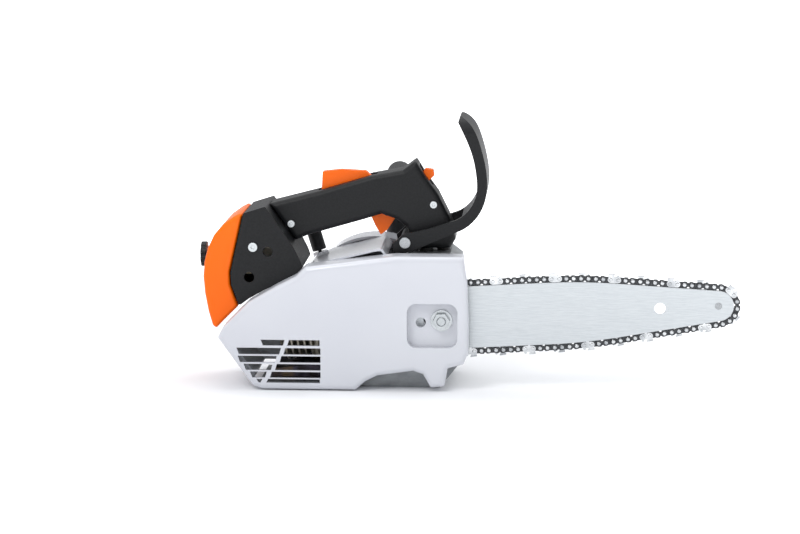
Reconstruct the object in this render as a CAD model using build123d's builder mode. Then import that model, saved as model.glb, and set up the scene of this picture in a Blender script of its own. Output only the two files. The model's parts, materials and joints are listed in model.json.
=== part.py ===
"""Top-handle petrol chainsaw, millimetres.

X runs forward along the guide bar, Y to the operator's left, Z up.
The origin is on the flat base, straight below the crankshaft axis.
"""

import os
from math import acos, atan2, cos, degrees, hypot, pi, radians, sin, tan

from build123d import *

os.makedirs("parts", exist_ok=True)

# ---------------------------------------------------------------- driving sizes
base_front_x = 62.0  # front end of the flat base
base_rear_x = -96.0
crank_z = 58.0  # crankshaft axis above the base
bar_tilt = 3.2  # degrees that the bar points up
bar_y = -42.0  # mid-plane of the guide bar and chain
engine_y = 4.0  # mid-plane of the cylinder and the crankcase split
grip_y = 2.0  # mid-plane of the top handle

pitch = 6.35  # rivet to rivet
drive_link_count = 56
sprocket_teeth = 8
rail_to_rivet = 3.1  # bar rail to rivet line
bar_thickness = 3.3
bar_half_height = 27.0  # widest rail height, each side of the bar's centre line
bar_shoulder = 50.0  # where the rails reach full width, from the crank axis
bar_taper_start = 186.0  # where the rails start to close towards the nose
shoulder_radius = 120.0
taper_radius = 520.0
groove_width = 1.3
groove_depth = 5.5
tang_depth = 3.8  # drive link below the rail
link_thickness = 1.1
strap_thickness = 1.0
strap_half_height = 2.6
side_gap = 0.05  # strap to drive link
rivet_radius = 1.2
rivet_head_radius = 1.7
rivet_head = 0.25
tooth_clearance = 0.4  # sprocket teeth to the standing chain

case_right_y = -39.4
case_left_y = 38.0
case_clearance = 0.3
cover_out_y = -62.0
cover_wall = 2.4
stud_u = 64.0  # bar stud from the crank axis, along the bar
stud_radius = 4.0
nut_flats = 13.0
tensioner_u = 46.0
tensioner_drop = 1.0

bore_radius = 16.5
crank_throw = 13.0
rod_length = 44.0
piston_height = 26.0
piston_crown = 14.0  # wrist pin to crown
cylinder_drop = 8.0  # degrees that the cylinder dips towards the rear
running_gap = 0.05
shaft_radius = 5.0
web_radius = 18.0
web_width = 6.0
rod_width = 6.0
pin_radius = 4.5

drum_radius = 31.0
drum_wall = 1.6
drum_depth = 15.0
band_thickness = 1.0
flywheel_radius = 46.0
starter_radius = 63.0
starter_depth = 36.0
pulley_radius = 35.0
rope_radius = 1.6

grip_half_width = 17.5
rear_half_width = 38.0
shell_wall = 2.6
tube_radius = 11.5
guard_near_y = -31.0
guard_far_y = 35.0
guard_arm = 6.0
guard_pivot = (31.0, 125.5)
trigger_pivot = (15.0, 150.5)
interlock_pivot = (-6.0, 173.0)
stop_pivot = (45.0, 177.0)
lever_pin_radius = 1.5


# ---------------------------------------------------------------- helpers
def side(y):
    """Sketch plane at Y = y with X to the right and Z up; it extrudes towards -Y."""
    return Plane.XZ.offset(-y)


def bar_frame(y, u=0.0, v=0.0, turn=0.0):
    """Sketch plane in the tilted frame of the bar, whose origin is the crank axis."""
    t = radians(bar_tilt)
    place = (u * cos(t) - v * sin(t), y, crank_z + u * sin(t) + v * cos(t))
    a = radians(bar_tilt + turn)
    return Plane(origin=place, x_dir=(cos(a), 0, sin(a)), z_dir=(0, -1, 0))


def barrel_plane(distance):
    """Plane square to the cylinder axis, that far behind the crank axis."""
    a = radians(cylinder_drop)
    rearwards = Vector(-cos(a), 0, -sin(a))
    return Plane(origin=Vector(0, engine_y, crank_z) + rearwards * distance, x_dir=(0, 1, 0), z_dir=rearwards)


def save(builder, name):
    """Label a finished part and write it."""
    builder.part.label = name
    export_step(builder.part, f"parts/{name}.step")


def turned(x, z, dx, dz, angle):
    """Point (dx, dz) turned by an angle in degrees and moved to (x, z)."""
    a = radians(angle)
    return (x + dx * cos(a) - dz * sin(a), z + dx * sin(a) + dz * cos(a))


# ---------------------------------------------------------------- chain path
rivet_circle = pitch / (2 * sin(pi / (2 * sprocket_teeth)))
nose_radius = rivet_circle - rail_to_rivet


def corner_arc(before, corner, after, radius):
    """Start, end, centre and turn of the arc that rounds a corner."""
    ax, ay = before[0] - corner[0], before[1] - corner[1]
    bx, by = after[0] - corner[0], after[1] - corner[1]
    la, lb = hypot(ax, ay), hypot(bx, by)
    ax, ay, bx, by = ax / la, ay / la, bx / lb, by / lb
    half = acos(max(-1.0, min(1.0, ax * bx + ay * by))) / 2
    reach = radius / tan(half)
    mx, my = (ax + bx), (ay + by)
    ml = hypot(mx, my)
    centre = (corner[0] + mx / ml * radius / sin(half), corner[1] + my / ml * radius / sin(half))
    start = (corner[0] + ax * reach, corner[1] + ay * reach)
    end = (corner[0] + bx * reach, corner[1] + by * reach)
    return start, end, centre, pi - 2 * half


def half_path(length, offset):
    """Upper half of a loop that lies `offset` outside the rails, from sprocket to nose.

    Gives (kind, data...) pieces: lines by their ends, arcs by centre, radius and angles.
    """
    radius = nose_radius + offset
    high = bar_half_height + offset
    a, b = (bar_shoulder, high), (bar_taper_start, high)
    da, db = hypot(*a), hypot(b[0] - length, b[1])
    rise = atan2(a[1], a[0]) + acos(radius / da)
    fall = atan2(b[1], b[0] - length) - acos(radius / db)
    first = (radius * cos(rise), radius * sin(rise))
    last = (length + radius * cos(fall), radius * sin(fall))
    a0, a1, ac, at = corner_arc(first, a, b, shoulder_radius)
    b0, b1, bc, bt = corner_arc(a, b, last, taper_radius)
    top = pi / 2
    return [
        ("arc", (0, 0), radius, pi, rise),
        ("line", first, a0),
        ("arc", ac, shoulder_radius, rise, rise - at),
        ("line", a1, b0),
        ("arc", bc, taper_radius, top, top - bt),
        ("line", b1, last),
        ("arc", (length, 0), radius, fall, 0),
    ]


def piece_length(piece):
    """Length of one piece of a path."""
    if piece[0] == "line":
        return hypot(piece[2][0] - piece[1][0], piece[2][1] - piece[1][1])
    return piece[2] * abs(piece[4] - piece[3])


def solve_nose():
    """Distance from the crank axis to the nose that gives the chain its whole number of links."""
    low, high = 240.0, 360.0
    wanted = pitch * drive_link_count  # half of the loop
    while high - low > 1e-9:
        middle = (low + high) / 2
        if sum(map(piece_length, half_path(middle, rail_to_rivet))) < wanted:
            low = middle
        else:
            high = middle
    return (low + high) / 2


nose_u = solve_nose()
rivet_path = half_path(nose_u, rail_to_rivet)
half_loop = sum(map(piece_length, rivet_path))


def on_path(distance):
    """Point of the rivet line, going forward along the top and back along the bottom."""
    distance %= 2 * half_loop
    lower = distance > half_loop
    left = 2 * half_loop - distance if lower else distance
    for piece in rivet_path:
        size = piece_length(piece)
        if left <= size or piece is rivet_path[-1]:
            share = min(1.0, left / size)
            if piece[0] == "line":
                u = piece[1][0] + (piece[2][0] - piece[1][0]) * share
                v = piece[1][1] + (piece[2][1] - piece[1][1]) * share
            else:
                angle = piece[3] + (piece[4] - piece[3]) * share
                u = piece[1][0] + piece[2] * cos(angle)
                v = piece[1][1] + piece[2] * sin(angle)
            return (u, -v if lower else v)
        left -= size


rivets = [on_path(pitch * (n + 0.5)) for n in range(2 * drive_link_count)]


def link_place(n):
    """Middle (u, v) and direction, in degrees, of the link between rivets n and n + 1."""
    (u0, v0), (u1, v1) = rivets[n], rivets[(n + 1) % len(rivets)]
    return (u0 + u1) / 2, (v0 + v1) / 2, degrees(atan2(v1 - v0, u1 - u0))


# ---------------------------------------------------------------- chain
strap_in = link_thickness / 2 + side_gap
strap_out = strap_in + strap_thickness
rivet_hole = rivet_radius + running_gap
cutter_height = 4.7
gauge_height = 4.1
cutter_reach = 2.3
half_pitch = pitch / 2


def chain_set(prototype, places):
    """Copies of one link, each at a place (u, v, turn) on the rivet line, kept as separate solids."""
    home = bar_frame(0).location.inverse()
    solids = []
    for u, v, turn in places:
        solids += (bar_frame(0, u, v, turn).location * home * prototype).solids()
    return Compound(solids)


def save_chain(prototype, places, name):
    """Write one kind of chain link."""
    links = chain_set(prototype, places)
    links.label = name
    export_step(links, f"parts/{name}.step")


def rivet_pair():
    """Holes for the two rivets of a link, in the current sketch."""
    with Locations((-half_pitch, 0), (half_pitch, 0)):
        Circle(rivet_hole, mode=Mode.SUBTRACT)


def strap(y):
    """Figure-of-eight tie strap whose outer face towards +Y is at y from the chain's middle."""
    with BuildPart() as made:
        with BuildSketch(bar_frame(bar_y + y)):
            SlotCenterToCenter(pitch, 2 * strap_half_height)
            with Locations((0, strap_half_height), (0, -strap_half_height)):
                Circle(strap_half_height * 0.42, mode=Mode.SUBTRACT)
            rivet_pair()
        extrude(amount=strap_thickness)
    return made.part


def cutter(hand):
    """Cutter link: strap, depth gauge in front, top plate folded over the chain behind."""
    outer = strap_out if hand > 0 else -strap_in
    high = cutter_reach if hand > 0 else strap_in + 0.2
    low = -strap_in - 0.2 if hand > 0 else -cutter_reach
    with BuildPart() as made:
        with BuildSketch(bar_frame(bar_y + outer)):
            SlotCenterToCenter(pitch, 2 * strap_half_height)
            with BuildLine():
                Polyline(
                    (-half_pitch - 2.0, 0.5),
                    (-half_pitch - 2.2, cutter_height),
                    (0.2, cutter_height),
                    (-0.4, 2.4),
                    (half_pitch - 1.2, 2.4),
                    (half_pitch - 0.8, gauge_height),
                    (half_pitch + 0.8, gauge_height),
                    (half_pitch + 2.2, 0.5),
                    close=True,
                )
            make_face()
            rivet_pair()
        extrude(amount=strap_thickness)
        with BuildSketch(bar_frame(bar_y + high)):
            with BuildLine():
                Polyline(
                    (-half_pitch - 2.2, cutter_height - 0.9),
                    (-half_pitch - 2.2, cutter_height - 0.2),
                    (0.4, cutter_height + 0.2),
                    (0.2, cutter_height - 0.7),
                    close=True,
                )
            make_face()
        extrude(amount=high - low)
    return made.part


with BuildPart() as drive_link:
    with BuildSketch(bar_frame(bar_y + link_thickness / 2)):
        SlotCenterToCenter(pitch, 2 * strap_half_height - 0.6)
        with BuildLine():
            Polyline(
                (-half_pitch - 0.6, -1.2),
                (half_pitch + 0.6, -1.2),
                (0.9, -rail_to_rivet - tang_depth),
                (-0.9, -rail_to_rivet - tang_depth),
                close=True,
            )
        make_face()
        rivet_pair()
    extrude(amount=link_thickness)

with BuildPart() as rivet:
    with BuildSketch(bar_frame(bar_y + strap_out + 0.01)):
        Circle(rivet_radius)
    extrude(amount=2 * strap_out + 0.02)
    for y in (strap_out + 0.01 + rivet_head, -strap_out - 0.01):
        with BuildSketch(bar_frame(bar_y + y)):
            Circle(rivet_head_radius)
        extrude(amount=rivet_head)

# Drive links and outer links alternate. The outer links go: left cutter, strap, right cutter, strap.
places = [link_place(n) for n in range(2 * drive_link_count)]
outer_places = places[1::2]
plain_left = [p for k, p in enumerate(outer_places) if k % 4 != 0]
plain_right = [p for k, p in enumerate(outer_places) if k % 4 != 2]
save_chain(drive_link.part, places[0::2], "drive_links")
save_chain(strap(strap_out), plain_left, "tie_straps_left")
save_chain(strap(-strap_in), plain_right, "tie_straps_right")
save_chain(cutter(1), outer_places[0::4], "cutters_left")
save_chain(cutter(-1), outer_places[2::4], "cutters_right")
save_chain(rivet.part, [(u, v, 0) for u, v in rivets], "chain_rivets")


# ---------------------------------------------------------------- guide bar
tail_u = 27.0
nose_bore = 3.0
nose_hole_u = nose_u - 50.0
nose_hole_radius = 5.0
slot_length = 24.0
slot_width = 2 * stud_radius + 0.6


def rail_loop(offset, from_u):
    """Closed outline at `offset` from the rails, cut off square at from_u. Call it in a BuildLine."""
    kept = half_path(nose_u, offset)[2:]
    arc_start = kept[0][1][0] + kept[0][2] * cos(kept[0][3]), kept[0][1][1] + kept[0][2] * sin(kept[0][3])
    rise = kept[0][3]
    start = (from_u, arc_start[1] + (arc_start[0] - from_u) / tan(rise))
    for sign in (1, -1):
        Line((start[0], sign * start[1]), (arc_start[0], sign * arc_start[1]))
        for piece in kept:
            if piece[0] == "line":
                Line((piece[1][0], sign * piece[1][1]), (piece[2][0], sign * piece[2][1]))
            else:
                points = []
                for share in (0, 0.5, 1):
                    angle = piece[3] + (piece[4] - piece[3]) * share
                    x = piece[1][0] + piece[2] * cos(angle)
                    points.append((x, sign * (piece[1][1] + piece[2] * sin(angle))))
                ThreePointArc(*points)
    Line((start[0], start[1]), (start[0], -start[1]))


with BuildPart() as guide_bar:
    with BuildSketch(bar_frame(bar_y + bar_thickness / 2)):
        with BuildLine():
            rail_loop(0.0, tail_u)
        make_face()
        with Locations((stud_u - 4, 0)):
            SlotOverall(slot_length, slot_width, mode=Mode.SUBTRACT)
        with Locations((nose_u, 0)):
            Circle(nose_bore, mode=Mode.SUBTRACT)
        with Locations((nose_hole_u, 0)):
            Circle(nose_hole_radius, mode=Mode.SUBTRACT)
        with Locations((tensioner_u - 8, 12), (tensioner_u - 8, -12)):
            Circle(3.0, mode=Mode.SUBTRACT)
    extrude(amount=bar_thickness)
    with BuildSketch(bar_frame(bar_y + groove_width / 2)) as groove:
        with BuildLine():
            rail_loop(1.0, tail_u - 1.0)
        make_face()
        with BuildLine():
            rail_loop(-groove_depth, tail_u + 6.0)
        make_face(mode=Mode.SUBTRACT)
        with Locations((nose_u, 0)):
            Circle(nose_radius)
    extrude(amount=groove_width, mode=Mode.SUBTRACT)
save(guide_bar, "guide_bar")


def star(outer, root, teeth, turn):
    """Sprocket outline in the current sketch."""
    points = []
    for t in range(teeth):
        for da, r in ((-0.30, root), (-0.14, outer), (0.14, outer), (0.30, root)):
            a = 2 * pi / teeth * (t + da) + turn
            points.append((r * cos(a), r * sin(a)))
    Polygon(*points, align=None)


tang_circle = nose_radius - tang_depth - tooth_clearance
with BuildPart() as nose_sprocket:
    with BuildSketch(bar_frame(bar_y + link_thickness / 2, nose_u)):
        star(tang_circle, tang_circle - 2.0, sprocket_teeth, 0)
        Circle(nose_bore + running_gap, mode=Mode.SUBTRACT)
    extrude(amount=link_thickness)
save(nose_sprocket, "nose_sprocket")

with BuildPart() as nose_rivet:
    with BuildSketch(bar_frame(bar_y + bar_thickness / 2, nose_u)):
        Circle(nose_bore - 0.01)
    extrude(amount=bar_thickness)
save(nose_rivet, "nose_rivet")


# ---------------------------------------------------------------- crank train
chamber_radius = web_radius + 2.5
rod_gap = 0.4
web_in = rod_width / 2 + rod_gap
web_out = web_in + web_width
bearing_radius = 14.0
bearing_width = 9.0
bearing_right_y = engine_y - web_out - 1.0  # its face towards the crank
bearing_left_y = engine_y + web_out + 1.0
seal_width = 4.0
cylinder_angle = 180 + cylinder_drop
shaft_end_right = bar_y - 6.0
shaft_end_left = 58.0


def disc(y_high, width, radius, hole=0.0, u=0.0, v=0.0):
    """Plain ring or disc about an axis along Y, in the bar's frame."""
    with BuildPart() as made:
        with BuildSketch(bar_frame(y_high, u, v)):
            Circle(radius)
            if hole:
                Circle(hole, mode=Mode.SUBTRACT)
        extrude(amount=width)
    return made.part


with BuildPart() as crankshaft:
    add(disc(engine_y - web_in, web_width, web_radius))
    add(disc(engine_y - web_out, engine_y - web_out - shaft_end_right, shaft_radius))
    add(disc(engine_y + web_out, web_width, web_radius))
    add(disc(shaft_end_left, shaft_end_left - engine_y - web_out, shaft_radius))
save(crankshaft, "crankshaft")

with BuildPart() as crank_bearings:
    add(disc(bearing_right_y, bearing_width, bearing_radius, shaft_radius + running_gap))
    add(disc(bearing_left_y + bearing_width, bearing_width, bearing_radius, shaft_radius + running_gap))
save(crank_bearings, "crank_bearings")

seal_radius = 9.0
with BuildPart() as oil_seals:
    add(disc(bearing_right_y - bearing_width, seal_width, seal_radius, shaft_radius + running_gap))
    add(disc(bearing_left_y + bearing_width + seal_width, seal_width, seal_radius, shaft_radius + running_gap))
save(oil_seals, "oil_seals")


def rod_plane(y):
    """Sketch plane whose X runs along the cylinder axis, away from the crank."""
    a = radians(cylinder_angle)
    return Plane(origin=(0, y, crank_z), x_dir=(cos(a), 0, sin(a)), z_dir=(0, -1, 0))


small_end = crank_throw + rod_length
wrist_radius = 4.0
with BuildPart() as crank_pin:
    with BuildSketch(rod_plane(engine_y + rod_width / 2)):
        with Locations((crank_throw, 0)):
            Circle(pin_radius)
    extrude(amount=rod_width)
save(crank_pin, "crank_pin")

with BuildPart() as connecting_rod:
    with BuildSketch(rod_plane(engine_y + rod_width / 2)):
        with Locations((crank_throw, 0)):
            Circle(pin_radius + 3.0)
        with Locations((small_end, 0)):
            Circle(wrist_radius + 2.5)
        with Locations(((crank_throw + small_end) / 2, 0)):
            Rectangle(rod_length, 7.0)
        with Locations((crank_throw, 0)):
            Circle(pin_radius + running_gap, mode=Mode.SUBTRACT)
        with Locations((small_end, 0)):
            Circle(wrist_radius + running_gap, mode=Mode.SUBTRACT)
    extrude(amount=rod_width)
save(connecting_rod, "connecting_rod")

wrist_length = 2 * bore_radius - 6.0
with BuildPart() as wrist_pin:
    with BuildSketch(rod_plane(engine_y + wrist_length / 2)):
        with Locations((small_end, 0)):
            Circle(wrist_radius)
    extrude(amount=wrist_length)
save(wrist_pin, "wrist_pin")

crown_at = small_end + piston_crown
piston_wall = 2.5
ring_height = 1.2
ring_depth = 1.4
with BuildPart() as piston:
    with BuildSketch(barrel_plane(crown_at - piston_height)):
        Circle(bore_radius - running_gap)
    extrude(amount=piston_height)
    with BuildSketch(barrel_plane(crown_at - piston_height)):
        Circle(bore_radius - piston_wall)
    extrude(amount=piston_height - 4.0, mode=Mode.SUBTRACT)
    with BuildSketch(rod_plane(engine_y + wrist_length / 2 + 1)):
        with Locations((small_end, 0)):
            Circle(wrist_radius + running_gap)
    extrude(amount=wrist_length + 2, mode=Mode.SUBTRACT)
    with BuildSketch(barrel_plane(crown_at - 3.0 - ring_height)):
        Circle(bore_radius + 1)
        Circle(bore_radius - ring_depth, mode=Mode.SUBTRACT)
    extrude(amount=ring_height, mode=Mode.SUBTRACT)
save(piston, "piston")

with BuildPart() as piston_ring:
    with BuildSketch(barrel_plane(crown_at - 3.0 - ring_height + 0.05)):
        Circle(bore_radius - 0.02)
        Circle(bore_radius - ring_depth + running_gap, mode=Mode.SUBTRACT)
        with Locations((0, bore_radius)):
            Rectangle(0.6, 6, mode=Mode.SUBTRACT)
    extrude(amount=ring_height - 0.1)
save(piston_ring, "piston_ring")

# ---------------------------------------------------------------- cylinder and what bolts to it
flange_at = 27.0
barrel_end = 83.0
liner_radius = 21.0
fin_size = 58.0
fin_count = 8
fin_pitch = 5.6
fin_width = 1.6
plug_radius = 5.0
plug_hex = 16.0
port_reach = 32.0  # port faces from the cylinder axis
port_length = 14.0
exhaust_at = 40.0
intake_at = 60.0
with BuildPart() as cylinder:
    with BuildSketch(barrel_plane(flange_at)):
        Circle(liner_radius)
    extrude(amount=barrel_end - flange_at)
    with BuildSketch(barrel_plane(flange_at)):
        RectangleRounded(48, 48, 6)
    extrude(amount=5.0)
    for k in range(fin_count):
        with BuildSketch(barrel_plane(flange_at + 10.0 + k * fin_pitch)):
            RectangleRounded(fin_size, fin_size, 14)
        extrude(amount=fin_width)
    with BuildSketch(barrel_plane(exhaust_at)):
        with Locations((0, port_reach / 2)):
            RectangleRounded(24, port_reach, 2)
    extrude(amount=port_length)
    with BuildSketch(barrel_plane(intake_at)):
        with Locations((0, -port_reach / 2)):
            RectangleRounded(24, port_reach, 2)
    extrude(amount=port_length)
    with BuildSketch(barrel_plane(flange_at - 1)):
        Circle(bore_radius)
    extrude(amount=crown_at + 3.0 - flange_at + 1, mode=Mode.SUBTRACT)
    with BuildSketch(barrel_plane(flange_at)):
        Circle(plug_radius)
    extrude(amount=barrel_end, mode=Mode.SUBTRACT)
    with BuildSketch(barrel_plane(exhaust_at + 2.5)):
        with Locations((0, port_reach / 2 + 4)):
            Rectangle(16, port_reach)
    extrude(amount=port_length - 5, mode=Mode.SUBTRACT)
    with BuildSketch(barrel_plane(intake_at + 2.5)):
        with Locations((0, -port_reach / 2 - 4)):
            Rectangle(12, port_reach)
    extrude(amount=port_length - 5, mode=Mode.SUBTRACT)
save(cylinder, "cylinder")

with BuildPart() as spark_plug:
    with BuildSketch(barrel_plane(crown_at + 4.0)):
        Circle(plug_radius - running_gap)
    extrude(amount=barrel_end - crown_at - 4.0)
    with BuildSketch(barrel_plane(barrel_end)):
        RegularPolygon(plug_hex / 2, 6, major_radius=False)
    extrude(amount=7.0)
    with BuildSketch(barrel_plane(barrel_end + 7.0)):
        Circle(4.0)
    extrude(amount=10.0)
save(spark_plug, "spark_plug")

boot_radius = 7.5
with BuildPart() as plug_boot:
    with BuildSketch(barrel_plane(barrel_end + 8.0)):
        Circle(boot_radius)
        Circle(4.0 + running_gap, mode=Mode.SUBTRACT)
    extrude(amount=9.05)
    with BuildSketch(barrel_plane(barrel_end + 17.05)):
        Circle(boot_radius)
    extrude(amount=4.0)
save(plug_boot, "plug_boot")

muffler_x = (-88.0, -38.0)
muffler_z = (5.0, 17.5)
with BuildPart() as muffler:
    with BuildSketch(side(engine_y + 28)):
        with BuildLine():
            FilletPolyline(
                (muffler_x[0], muffler_z[0]),
                (muffler_x[1], muffler_z[0]),
                (muffler_x[1], muffler_z[1] + 0.2),
                (muffler_x[0], muffler_z[1] - 6.0),
                radius=2.5,
                close=True,
            )
        make_face()
    extrude(amount=56)
save(muffler, "muffler")

# ---------------------------------------------------------------- crankcase
case_outline = [
    (base_rear_x, 0),
    (base_front_x, 0),
    (base_front_x + 16, 20),
    (base_front_x + 19, 60),
    (base_front_x + 17, 108),
    (70, 115),
    (33, 115),
    (24, 100),
    (-24, 94),
    (-24, 4.2),
    (base_rear_x, 3.2),
]
drum_pocket = drum_radius + band_thickness + 4.0
pocket_floor = case_right_y + drum_depth + 5.0
stud_hole = stud_radius


def case_half(y_high, y_low):
    """Casting half with the crank chamber, bearing and seal seats and the cylinder's mouth."""
    with BuildPart() as made:
        with BuildSketch(side(y_high)):
            Polygon(*case_outline, align=None)
        extrude(amount=y_high - y_low)
        with BuildSketch(bar_frame(engine_y + web_out + 1.0)):
            Circle(chamber_radius)
        extrude(amount=2 * (web_out + 1.0), mode=Mode.SUBTRACT)
        with BuildSketch(bar_frame(bearing_left_y + bearing_width)):
            Circle(bearing_radius + 0.01)
        extrude(amount=bearing_left_y - bearing_right_y + 2 * bearing_width, mode=Mode.SUBTRACT)
        with BuildSketch(bar_frame(y_high + 1)):
            Circle(seal_radius + 0.01)
        extrude(amount=y_high - y_low + 2, mode=Mode.SUBTRACT)
        with BuildSketch(barrel_plane(0)):
            Circle(bore_radius + 0.6)
        extrude(amount=flange_at + 10, mode=Mode.SUBTRACT)
        with BuildSketch(barrel_plane(flange_at - 0.05)):
            Rectangle(80, 64)
        extrude(amount=60, mode=Mode.SUBTRACT)
        with BuildSketch(side(cavity_y(y_high, y_low)[1])):
            with BuildLine():
                FilletPolyline(
                    (34, 8), (58, 8), (72, 24), (74, 60), (72, 104), (44, 106), (43, 60), (37, 40),
                    radius=3, close=True,
                )
            make_face()
        extrude(amount=cavity_y(y_high, y_low)[1] - cavity_y(y_high, y_low)[0], mode=Mode.SUBTRACT)
    return made.part


def cavity_y(y_high, y_low):
    """Span in Y of the tank inside a casting half."""
    return (y_low + 14.0, y_high - 2.0) if y_low < 0 else (y_low + 2.0, y_high - 3.0)


tensioner_radius = 3.2
with BuildPart() as crankcase_right:
    add(case_half(engine_y - 0.05, case_right_y))
    with BuildSketch(bar_frame(pocket_floor)):
        Circle(drum_pocket)
    extrude(amount=pocket_floor - case_right_y + 1, mode=Mode.SUBTRACT)
    with BuildSketch(bar_frame(case_right_y + 8.0, stud_u)):
        Circle(stud_hole)
    extrude(amount=9, mode=Mode.SUBTRACT)
    with BuildSketch(bar_frame(case_right_y + 8.0, tensioner_u, -tensioner_drop)):
        Circle(tensioner_radius + 0.2)
    extrude(amount=9, mode=Mode.SUBTRACT)
save(crankcase_right, "crankcase_right")

cap_radius = 8.5
cap_places = [(66.5, 27.0), (69.0, 92.0)]
with BuildPart() as crankcase_left:
    add(case_half(case_left_y, engine_y + 0.05))
    for x, z in cap_places:
        with BuildSketch(side(case_left_y + 1)):
            with Locations((x, z)):
                Circle(cap_radius - 2.0)
        extrude(amount=8, mode=Mode.SUBTRACT)
save(crankcase_left, "crankcase_left")

for (x, z), name in zip(cap_places, ("oil_cap", "fuel_cap")):
    with BuildPart() as cap:
        with BuildSketch(side(case_left_y + 5.0)):
            with Locations((x, z)):
                Circle(cap_radius)
        extrude(amount=4.9)
        chamfer(cap.faces().sort_by(Axis.Y)[-1].edges(), 0.8)
        with BuildSketch(side(case_left_y + 5.0)):
            with Locations((x, z)):
                SlotOverall(12, 2.2)
        extrude(amount=1.8, mode=Mode.SUBTRACT)
        with BuildSketch(side(case_left_y + 0.2)):
            with Locations((x, z)):
                Circle(cap_radius - 2.15)
        extrude(amount=5)
    save(cap, name)

# ---------------------------------------------------------------- clutch
drum_out_y = case_right_y + 0.5  # closed face, towards the chain
drum_in_y = drum_out_y + drum_depth
sprocket_out_y = bar_y - 2.6
with BuildPart() as clutch_drum:
    add(disc(drum_in_y, drum_depth, drum_radius))
    add(disc(drum_in_y, drum_depth - 1.6, drum_radius - drum_wall), mode=Mode.SUBTRACT)
    with BuildSketch(bar_frame(drum_out_y)):
        star(tang_circle, tang_circle - 1.6, sprocket_teeth, 0)
    extrude(amount=drum_out_y - sprocket_out_y)
    add(disc(drum_in_y + 1, drum_depth + 20, shaft_radius + running_gap), mode=Mode.SUBTRACT)
save(clutch_drum, "clutch_drum")

hub_y = drum_in_y - 2.0
hub_width = 8.0
hub_radius = 12.0
shoe_in = hub_radius + 0.6
shoe_out = drum_radius - drum_wall - 1.6
with BuildPart() as clutch_hub:
    add(disc(hub_y, hub_width, hub_radius, shaft_radius))
    for k in range(3):
        with BuildSketch(bar_frame(hub_y, 0, 0, 120 * k)):
            with Locations(((hub_radius + shoe_out - 4) / 2, 0)):
                Rectangle(shoe_out - 4 - hub_radius + 4, 4.0)
        extrude(amount=hub_width)
    add(disc(hub_y + 1, hub_width + 2, shaft_radius + 0.01), mode=Mode.SUBTRACT)
save(clutch_hub, "clutch_hub")

shoe_names = ["clutch_shoe_1", "clutch_shoe_2", "clutch_shoe_3"]
for k, name in enumerate(shoe_names):
    with BuildPart() as shoe:
        with BuildSketch(bar_frame(hub_y, 0, 0, 120 * k + 60)):
            Circle(shoe_out)
            Circle(shoe_in, mode=Mode.SUBTRACT)
            reach = 60 * tan(radians(46))
            Polygon((0, 0), (60, reach), (60, -reach), align=None, mode=Mode.INTERSECT)
        extrude(amount=hub_width)
    save(shoe, name)

with BuildPart() as brake_band:
    with BuildSketch(bar_frame(drum_in_y - 2)):
        Circle(drum_radius + 0.5 + band_thickness)
        Circle(drum_radius + 0.5, mode=Mode.SUBTRACT)
        with Locations((0, drum_radius)):
            Rectangle(7, 8, mode=Mode.SUBTRACT)
    extrude(amount=drum_depth - 5)
save(brake_band, "brake_band")

# ---------------------------------------------------------------- bar clamp
stud_end_y = cover_out_y + 1.0
nut_seat_y = cover_out_y + 8.5
with BuildPart() as bar_stud:
    add(disc(case_right_y + 8.0, case_right_y + 8.0 - stud_end_y, stud_radius, 0, stud_u))
    chamfer(bar_stud.faces().sort_by(Axis.Y)[0].edges(), 0.8)
save(bar_stud, "bar_stud")

with BuildPart() as bar_nut:
    with BuildSketch(bar_frame(nut_seat_y - 0.05, stud_u)):
        Circle(nut_flats * 0.72)
    extrude(amount=1.6)
    with BuildSketch(bar_frame(nut_seat_y - 1.6, stud_u)):
        RegularPolygon(nut_flats / 2, 6, major_radius=False)
    extrude(amount=5.4)
    with BuildSketch(bar_frame(nut_seat_y + 1, stud_u)):
        Circle(stud_radius + 0.01)
    extrude(amount=12, mode=Mode.SUBTRACT)
save(bar_nut, "bar_nut")

with BuildPart() as side_plate:
    with BuildSketch(bar_frame(bar_y + bar_thickness / 2 + 0.85)):
        with Locations((stud_u, 0)):
            RectangleRounded(42, 40, 5)
            Circle(stud_radius + 0.3, mode=Mode.SUBTRACT)
        with Locations((tensioner_u, -tensioner_drop)):
            Circle(tensioner_radius + 0.4, mode=Mode.SUBTRACT)
    extrude(amount=0.75)
save(side_plate, "side_plate")

with BuildPart() as tensioner:
    add(disc(case_right_y + 7.5, 6.0, tensioner_radius, 0, tensioner_u, -tensioner_drop))
    with BuildSketch(bar_frame(case_right_y + 1.5, tensioner_u, -tensioner_drop)):
        SlotOverall(4.5, 1.0)
    extrude(amount=-1.2, mode=Mode.SUBTRACT)
save(tensioner, "tensioner")

# ---------------------------------------------------------------- sprocket cover
cover_outline = [
    (24, 117.7),
    (83, 117.7),
    (86, 99.4),
    (87.4, 61),
    (87.4, 35),
    (83, 24),
    (69.4, 20.4),
    (66.8, 4.5),
    (54.7, 3.4),
    (48, 15),
    (39.4, 17.8),
    (8.5, 13.4),
    (-1.8, 8.2),
    (-10.4, 0.6),
    (-91, 0.6),
    (-99.6, 3.9),
    (-129.7, 45.5),
    (-124.5, 55.1),
    (-103, 76.8),
    (-79, 90.7),
    (-62, 99.4),
    (-53.3, 108.1),
    (15.4, 116.8),
]
cover_in_y = case_right_y - case_clearance
cover_edge = 5.0
recess_low = (34.4, 38.7)
recess_high = (77.9, 77.2)
recess_centre = ((recess_low[0] + recess_high[0]) / 2, (recess_low[1] + recess_high[1]) / 2)
recess_size = (recess_high[0] - recess_low[0], recess_high[1] - recess_low[1])
recess_corner = 8.0
bar_face_y = bar_y - bar_thickness / 2 - 0.05
chain_slot_half = 7.0
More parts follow.
